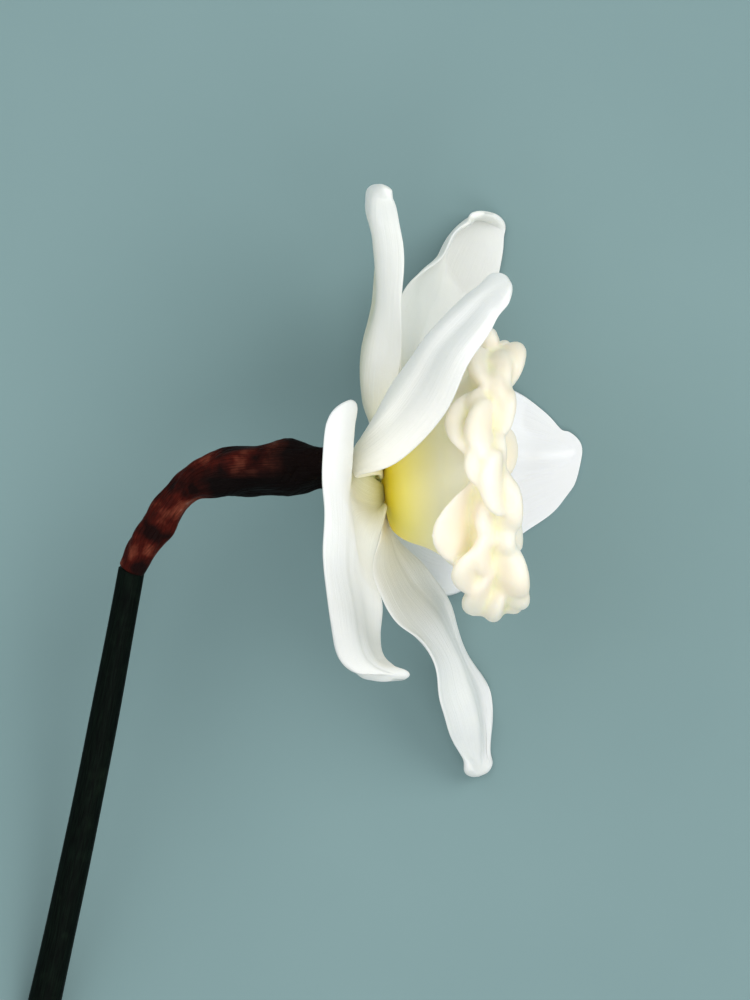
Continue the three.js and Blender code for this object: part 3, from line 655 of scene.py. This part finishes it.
def make_stem(material):
    along = unit(STEM_END - np.array(NECK[0][:3]))
    top = line_through([p[:3] for p in NECK])(np.array(SHEATH_FOOT)) - STEM_SEAT * along
    t = np.linspace(0, 1, STEM_RINGS)
    centres = top + (STEM_END - top) * t[:, None]
    centres[:, 0] += STEM_BOW * np.sin(math.pi * t)
    angles = around(STEM_SIDES)
    radii = STEM_RADII[0] + (STEM_RADII[1] - STEM_RADII[0]) * t
    uneven = waviness(centres, STEM_UNEVENNESS["size"], STEM_UNEVENNESS["seed"])
    radii *= 1 + STEM_UNEVENNESS["height"] * uneven
    radii *= rounded_off(1 - t, STEM_TOP["start"], 2).clip(STEM_TOP["least"])
    radii = radii[:, None] * (1 + ridges(STEM_RIDGES, angles))
    rings = rings_round(centres, np.repeat(along[None], len(t), 0), radii, angles)
    rings[..., 2] = np.maximum(rings[..., 2], FLOOR)
    points, faces = loop_mesh(rings)
    uv = [np.repeat(t, len(angles)), np.tile(angles / (2 * math.pi), len(t))]
    piece("stem_stalk", points, faces, material, "stem", "stem", uv)


def make_tube(material):
    """Footstalk, ovary and tube: a rod that fills the sheath and opens as the throat."""
    line = line_through([p[:3] for p in NECK])
    inside = SHEATH_THICKNESS + SEAM + TUBE_PLAY
    radii = [[max(p[3] - inside, 1)] for p in NECK[:-len(BARE_TUBE)]] + [[r] for r in BARE_TUBE]
    t = np.linspace(0, 1, TUBE_RINGS)
    angles = around(TUBE_SIDES)
    radius = line_through(radii)(t) * (1 + ridges(TUBE_RIDGES, angles))
    rings = rings_round(line(t), direction_of(line, t), radius, angles)
    turn = np.arctan2(rings[-1, :, 2], rings[-1, :, 1] - NECK[-1][1])
    ends = [on_axis(along, out * np.ones(len(turn)), turn) for along, out in TUBE_MOUTH]
    points, faces = loop_mesh(np.concatenate([rings, np.array(ends)]))
    rows = TUBE_RINGS + len(TUBE_MOUTH)
    uv = [np.repeat(np.linspace(0, 1, rows), len(angles)), np.tile(angles / (2 * math.pi), rows)]
    piece("tube_and_ovary", points, faces, material, "flower_tube", "green_tissue", uv)


# ---------------------------------------------------------------- stamens and style
def rod(line, radii, rings, sides, section=()):
    """A rod along a line, with its radius at even places along it and ridges in its section."""
    t, angles = np.linspace(0, 1, rings), around(sides)
    radius = line_through([[r] for r in radii])(t) * (1 + ridges(section, angles))
    return loop_mesh(rings_round(line(t), direction_of(line, t), radius, angles))


def axis_line(places, angle):
    """A line through places given along the flower's axis and from it, at one angle round it."""
    return line_through([on_axis(along, np.array(out), angle) for along, out in places])


def joined(skins):
    points, faces, count = [], [], 0
    for some_points, some_faces in skins:
        points.append(some_points)
        faces += [[count + i for i in f] for f in some_faces]
        count += len(some_points)
    return np.concatenate(points), faces


def make_stamens(stalk_material, pollen_material):
    stalks, anthers = [], []
    foot = THROAT_FLOOR + SEAM
    for k in range(STAMENS):
        angle = math.radians(STAMEN_START + 360 / STAMENS * k)
        end = STALK_ENDS[k % 2]
        stalk = axis_line([(foot, 1.35), (foot + 0.5, 1.35), (1, 1.6), (end, 2.7)], angle)
        stalks.append(rod(stalk, STALK_RADII, rings=24, sides=20))
        pollen = axis_line([(end - 1.6, 2.5), (end + 1.4, 3), (end + 4.4, 2.9)], angle)
        anthers.append(rod(pollen, ANTHER_RADII, rings=40, sides=28, section=ANTHER_SECTION))
    piece("filaments", *joined(stalks), stalk_material, "stamens", "green_tissue")
    piece("anthers", *joined(anthers), pollen_material, "stamens", "pollen")


def make_style(material):
    line = axis_line([(THROAT_FLOOR + SEAM, 0.0), (4, 0.0), (12.8, 0.3)], 0.4)
    skins = [rod(line, STYLE_RADII, rings=40, sides=24)]
    for k in range(STIGMA_LOBES):
        angle = math.radians(360 / STIGMA_LOBES * k + STIGMA_START)
        spread = axis_line([(12, 0.1), (12.9, 0.6), (13.5, 1.4)], angle)
        skins.append(rod(spread, STIGMA_RADII, rings=16, sides=20))
    piece("style_and_stigma", *joined(skins), material, "style", "green_tissue")


# ---------------------------------------------------------------- materials
# Colours along a tepal, from its foot to its tip. Some of a blade's shade is painted into them.
# This tone is a white tepal's tone made greyer all along: painted shade over the whole blade.
SHADED_TONE = [(0, (0.50, 0.49, 0.12)), (0.09, (0.62, 0.60, 0.32)), (0.21, (0.72, 0.71, 0.54)),
             (0.4, (0.80, 0.805, 0.75))]
TEPAL_TONES = {
    "tepal_grey_shade": [*SHADED_TONE, (1, (0.81, 0.835, 0.81))],
    "tepal_side_shaded": [*SHADED_TONE, (1, (0.80, 0.825, 0.80))],
    # Greyer than a white tepal near its foot and from 0.62 of its length to its tip, darkest at
    # 0.76: painted shade.
    "tepal_shade_band": [(0, (0.50, 0.49, 0.12)), (0.09, (0.64, 0.62, 0.36)), (0.21, (0.71, 0.705, 0.60)),
                   (0.35, (0.76, 0.77, 0.74)), (0.5, (0.94, 0.945, 0.93)),
                   (0.62, (0.86, 0.87, 0.85)), (0.76, (0.63, 0.64, 0.62)), (1, (0.76, 0.78, 0.76))],
    "tepal_white": [(0, (0.60, 0.58, 0.12)), (0.09, (0.78, 0.75, 0.42)), (0.21, (0.88, 0.86, 0.68)),
                    (0.4, (0.94, 0.935, 0.87)), (1, (0.93, 0.945, 0.92))],
    # Cream white to about halfway, then grey from 0.64 to its tip: the grey is painted shade.
    "tepal_shade_end_cream": [(0, (0.75, 0.72, 0.3)), (0.08, (0.95, 0.92, 0.78)), (0.3, (0.99, 0.97, 0.9)),
                    (0.52, (0.97, 0.97, 0.94)), (0.64, (0.86, 0.87, 0.85)),
                    (0.8, (0.74, 0.76, 0.75)), (1, (0.76, 0.78, 0.77))],
    # Bluish white beyond its foot: a painted tint of the cool light on this blade.
    "tepal_painted_cool_light": [(0, (0.84, 0.87, 0.78)), (0.1, (0.9, 0.95, 0.98)), (0.4, (0.9, 0.93, 0.95)),
                   (1, (0.87, 0.895, 0.915))],
}
# Painted shade: an olive grey mixed into a tepal on its low margin's side, short of the tip.
TEPAL_PAINTED_SHADES = {"tepal_side_shaded": (0.64, 0.635, 0.49)}  # on the low margin's side, short of the tip
TEPAL_VEIN, TEPAL_CLOUD = (0.84, 0.87, 0.81), (0.88, 0.90, 0.82)

# Colours of the cup's wall, from its foot to its rim, and of its lobes.
CUP_TONES = [(0, (0.70, 0.47, 0.004)), (0.22, (0.82, 0.60, 0.02)), (0.31, (0.93, 0.75, 0.18)),
             (0.4, (0.97, 0.83, 0.37)), (0.52, (0.99, 0.90, 0.60)), (0.68, (0.99, 0.92, 0.69))]
CREST_CREAM, CREST_PEACH = (0.92, 0.85, 0.71), (0.93, 0.81, 0.66)
CUP_DIP = (0.97, 0.89, 0.67)

# Blotches from near black to dark red. The palest, greyish stop stands partly for a painted sheen.
SHEATH_SHEEN_AND_BLOTCHES = [(0.36, (0.006, 0.0012, 0.001)), (0.5, (0.06, 0.006, 0.003)),
                   (0.62, (0.18, 0.042, 0.023)), (0.72, (0.3, 0.18, 0.15))]
SHEATH_STREAK, SHEATH_DARK_END = (0.012, 0.002, 0.0015), (0.004, 0.0012, 0.001)
SHEATH_DARK_SIDE = (0.002, 0.0006, 0.0005)  # painted shade on the side towards -Y
SHEATH_DARK_SIDE_Y = (0.0262, 0.0232)  # metres in the frame: where it starts and is full

# A green stem drawn nearly black, with its lines and flecks: painted shade over its whole length.
STEM_SHADE_DARK, STEM_SHADE_LIGHT = (0.0012, 0.0022, 0.0018), (0.003, 0.007, 0.0045)
STEM_FLECK = (0.006, 0.012, 0.007)
FLOOR_TONES = ((0.165, 0.262, 0.272), (0.178, 0.278, 0.287))


def shader(name, roughness):
    material = bpy.data.materials.new(name)
    material.use_nodes = True
    tree = material.node_tree
    principled = tree.nodes["Principled BSDF"]
    principled.inputs["Roughness"].default_value = roughness
    return material, tree, principled


def put(tree, socket, value):
    """Links a socket to another one, or sets it to a number, a colour or a vector."""
    if isinstance(value, bpy.types.NodeSocket):
        tree.links.new(value, socket)
    else:
        socket.default_value = value


def node(tree, kind, inputs=(), **settings):
    made = tree.nodes.new(kind)
    for key, value in settings.items():
        setattr(made, key, value)
    for key, value in dict(inputs).items():
        put(tree, made.inputs[key], value)
    return made


def attribute(tree, label):
    return node(tree, "ShaderNodeAttribute", attribute_name=label).outputs["Fac"]


def position(tree):
    return node(tree, "ShaderNodeNewGeometry").outputs["Position"]


def ramp(tree, value, stops):
    made = node(tree, "ShaderNodeValToRGB", {"Fac": value})
    elements = made.color_ramp.elements
    while len(elements) < len(stops):
        elements.new(0.5)
    for element, (place, colour) in zip(elements, stops):
        element.position = place
        element.color = (*colour, 1)
    return made.outputs["Color"]


def bump(tree, height, strength, distance, below=None):
    """A relief in metres. below is another one that it lies on."""
    inputs = {"Height": height, "Strength": strength, "Distance": distance}
    if below is not None:
        inputs["Normal"] = below
    return node(tree, "ShaderNodeBump", inputs).outputs["Normal"]


def noise(tree, scale, detail, space=None, stretch=None):
    """Cloudy values in the frame's own space, scale per metre, or in another one, stretched."""
    spot = position(tree) if space is None else space
    if stretch is not None:
        mapping = node(tree, "ShaderNodeMapping", {"Vector": spot, "Scale": stretch})
        spot = mapping.outputs["Vector"]
    inputs = {"Vector": spot, "Scale": scale, "Detail": detail}
    return node(tree, "ShaderNodeTexNoise", inputs).outputs["Fac"]


def mix(tree, factor, first, second):
    """Colours between first and second."""
    made = node(tree, "ShaderNodeMix", data_type="RGBA", blend_type="MIX")
    for place, value in ((0, factor), (6, first), (7, second)):  # the colour sockets of this node
        put(tree, made.inputs[place], (*value, 1) if isinstance(value, tuple) else value)
    return made.outputs[2]


def grey_ramp(tree, value, low, high, bottom=0.0, top=1.0):
    """value from low to high becomes bottom to top."""
    inputs = {"Value": value, "From Min": low, "From Max": high, "To Min": bottom, "To Max": top}
    return node(tree, "ShaderNodeMapRange", inputs).outputs["Result"]


def product(tree, first, second):
    made = node(tree, "ShaderNodeMath", {0: first, 1: second}, operation="MULTIPLY")
    return made.outputs["Value"]


def glow(principled, weight, radius, scale):
    """Light that spreads inside thin tissue. scale is in metres."""
    principled.inputs["Subsurface Weight"].default_value = weight
    principled.inputs["Subsurface Radius"].default_value = radius
    principled.inputs["Subsurface Scale"].default_value = scale


def blade_space(tree):
    """A space that runs along and across a blade, or along and round a tube, for its veins."""
    axes = {"X": attribute(tree, "along"), "Y": attribute(tree, "across")}
    return node(tree, "ShaderNodeCombineXYZ", axes).outputs["Vector"]


def tepal_material(name):
    material, tree, principled = shader(name, 0.45)
    along = attribute(tree, "along")
    base = ramp(tree, along, TEPAL_TONES[name])
    # Painted shade towards the low margin, fading before the tip.
    if name in TEPAL_PAINTED_SHADES:
        painted_shade_side = grey_ramp(tree, attribute(tree, "across"), 0.8, 0.6)
        short = grey_ramp(tree, along, 0.85, 0.65)
        base = mix(tree, product(tree, painted_shade_side, short), base, TEPAL_PAINTED_SHADES[name])
    veins = noise(tree, scale=9.0, detail=4.0, space=blade_space(tree), stretch=(0.5, 9.0, 1.0))
    clouds = noise(tree, scale=70.0, detail=3.0)
    fine = noise(tree, scale=2200.0, detail=2.0)
    veined = mix(tree, grey_ramp(tree, veins, 0.56, 0.72, top=0.35), base, TEPAL_VEIN)
    clouded = mix(tree, grey_ramp(tree, clouds, 0.5, 0.72, top=0.5), veined, TEPAL_CLOUD)
    raised = bump(tree, veins, strength=0.3, distance=0.0003)
    grained = bump(tree, fine, strength=0.1, distance=0.0001, below=raised)
    rough = grey_ramp(tree, clouds, 0.35, 0.7, bottom=0.42, top=0.58)
    dress(tree, principled, clouded, grained, rough)
    principled.inputs["Sheen Weight"].default_value = 0.1
    glow(principled, weight=0.45, radius=(1.0, 0.95, 0.8), scale=0.0028)
    return material


def corona_material():
    """Yellow at the foot of the wall and cream towards the rim. Between lobes it is yellower."""
    material, tree, principled = shader("corona_cream", 0.45)
    along, bulge = attribute(tree, "along"), attribute(tree, "bulge")
    peach = grey_ramp(tree, noise(tree, scale=110.0, detail=2.0), 0.42, 0.6)
    crest = mix(tree, peach, CREST_CREAM, CREST_PEACH)
    lobes = mix(tree, grey_ramp(tree, bulge, 0.25, 0.55), CUP_DIP, crest)
    base = mix(tree, grey_ramp(tree, along, 0.58, 0.74), ramp(tree, along, CUP_TONES), lobes)
    grained = bump(tree, noise(tree, scale=420.0, detail=4.0), strength=0.2, distance=0.0004)
    dress(tree, principled, base, grained)
    glow(principled, weight=0.6, radius=(1.0, 0.85, 0.6), scale=0.006)
    return material


def spathe_material():
    """Dry, thin tissue: blotched dark red, with a painted sheen in its palest blotches, and nearly
    black towards the flower. Painted shade makes its -Y side nearly black too.
    """
    material, tree, principled = shader("spathe_dark_red", 0.5)
    along = attribute(tree, "along")
    patches_and_sheen = ramp(tree, noise(tree, scale=190.0, detail=4.0), SHEATH_SHEEN_AND_BLOTCHES)
    fibres = noise(tree, scale=16.0, detail=4.0, space=blade_space(tree), stretch=(0.6, 7.0, 1.0))
    streaked = mix(tree, grey_ramp(tree, fibres, 0.4, 0.65, top=0.6), patches_and_sheen, SHEATH_STREAK)
    dark_end = mix(tree, grey_ramp(tree, along, 0.6, 0.8), streaked, SHEATH_DARK_END)
    y = node(tree, "ShaderNodeSeparateXYZ", {"Vector": position(tree)}).outputs["Y"]
    side = grey_ramp(tree, y, *SHEATH_DARK_SIDE_Y)
    shaded = product(tree, side, grey_ramp(tree, along, 0.36, 0.5))
    raised = bump(tree, fibres, strength=0.5, distance=0.0005)
    fine = noise(tree, scale=900.0, detail=3.0)
    grained = bump(tree, fine, strength=0.25, distance=0.0002, below=raised)
    rough = grey_ramp(tree, fibres, 0.35, 0.7, bottom=0.42, top=0.7)
    dress(tree, principled, mix(tree, shaded, dark_end, SHEATH_DARK_SIDE), grained, rough)
    principled.inputs["Specular IOR Level"].default_value = 0.05
    return material


# Painted shade: the stem's greens are all nearly black.
def stem_material():
    material, tree, principled = shader("stem_shaded_near_black", 0.55)
    lines = noise(tree, scale=12.0, detail=3.0, space=blade_space(tree), stretch=(2.0, 5.0, 1.0))
    flecks = noise(tree, scale=300.0, detail=3.0)
    base = mix(tree, grey_ramp(tree, lines, 0.4, 0.7), STEM_SHADE_DARK, STEM_SHADE_LIGHT)
    flecked = mix(tree, grey_ramp(tree, flecks, 0.55, 0.75, top=0.6), base, STEM_FLECK)
    dress(tree, principled, flecked, bump(tree, lines, strength=0.25, distance=0.0003))
    principled.inputs["Specular IOR Level"].default_value = 0.03
    return material


def tissue_material(name, light, dark, scale, roughness, grain=0.3):
    """Plant tissue mottled between two colours, with a fine grain."""
    material, tree, principled = shader(name, roughness)
    mottle = grey_ramp(tree, noise(tree, scale, detail=4.0), 0.35, 0.65)
    fine = noise(tree, 5 * scale, detail=3.0)
    grained = bump(tree, fine, strength=grain, distance=0.0003)
    dress(tree, principled, mix(tree, mottle, dark, light), grained)
    glow(principled, weight=0.2, radius=(0.8, 1.0, 0.4), scale=0.001)
    return material


def dress(tree, principled, colour, relief, roughness=None):
    put(tree, principled.inputs["Base Color"], colour)
    put(tree, principled.inputs["Normal"], relief)
    if roughness is not None:
        put(tree, principled.inputs["Roughness"], roughness)


# ---------------------------------------------------------------- stage
FLOOR_REACH = 3.0  # metres
FLOOR_GAP = 0.0002  # metres below the flower, so that the two don't share a plane
LIGHTS = {  # metres and watts; each light faces the flower
    "key": {"place": (0.62, 0.36, 0.8), "size": 0.8, "power": 5.3, "colour": (1, 0.99, 0.96)},
    "fill": {"place": (-0.5, 0.5, 0.8), "size": 1.0, "power": 3.6, "colour": (0.99, 1, 0.99)},
    "low": {"place": (0.15, -0.6, 0.9), "size": 0.9, "power": 4.5, "colour": (1, 0.99, 0.98)},
}
SKY = {"Color": (0.98, 1, 1, 1), "Strength": 0.55}


def area_light(name, place, size, power, colour):
    data = bpy.data.lights.new(name, "AREA")
    data.shape = "DISK"
    data.size = size
    data.energy = power
    data.color = colour
    made = bpy.data.objects.new(name, data)
    bpy.context.scene.collection.objects.link(made)
    made.location = place
    made.rotation_mode = "QUATERNION"
    made.rotation_quaternion = (-Vector(place)).to_track_quat("-Z", "Y")


def make_floor():
    mesh = bpy.data.meshes.new("floor")
    corners = [(x * FLOOR_REACH, y * FLOOR_REACH, -FLOOR_GAP)
               for x, y in ((-1, -1), (1, -1), (1, 1), (-1, 1))]
    mesh.from_pydata(corners, [], [(0, 1, 2, 3)])
    floor = bpy.data.objects.new("floor", mesh)
    bpy.context.scene.collection.objects.link(floor)
    material, tree, principled = shader("floor_grey_teal", 0.9)
    cloudy = grey_ramp(tree, noise(tree, scale=14.0, detail=3.0), 0.3, 0.7)
    put(tree, principled.inputs["Base Color"], mix(tree, cloudy, *FLOOR_TONES))
    mesh.materials.append(material)


def make_stage():
    make_floor()
    for name, light in LIGHTS.items():
        area_light(name, **light)
    world = bpy.data.worlds.new("studio")
    world.use_nodes = True
    background = world.node_tree.nodes["Background"]
    for key, value in SKY.items():
        background.inputs[key].default_value = value
    bpy.context.scene.world = world
    bpy.context.scene.view_settings.view_transform = "Standard"


def make_camera():
    data = bpy.data.cameras.new("camera")
    data.sensor_width = SENSOR
    data.lens = SENSOR * CAMERA_HEIGHT / FRAME_HEIGHT
    data.clip_start, data.clip_end = CAMERA_CLIP
    camera = bpy.data.objects.new("camera", data)
    camera.location = metres(np.array([*CAMERA_OFFSET, CAMERA_HEIGHT]))
    bpy.context.scene.collection.objects.link(camera)
    bpy.context.scene.camera = camera


make_camera()
make_stage()
make_tepals()
make_corona(corona_material())
make_sheath(spathe_material())
make_stem(stem_material())
make_tube(tissue_material("tube_green", light=(0.72, 0.72, 0.36), dark=(0.52, 0.57, 0.18),
                          scale=260.0, roughness=0.45))
make_stamens(tissue_material("filament_yellow", light=(0.85, 0.8, 0.35), dark=(0.75, 0.68, 0.2),
                             scale=300.0, roughness=0.45),
             tissue_material("pollen_gold", light=(0.9, 0.55, 0.05), dark=(0.6, 0.28, 0.01),
                             scale=1500.0, roughness=0.85, grain=0.8))
make_style(tissue_material("style_green", light=(0.72, 0.76, 0.4), dark=(0.5, 0.58, 0.2),
                           scale=300.0, roughness=0.4))
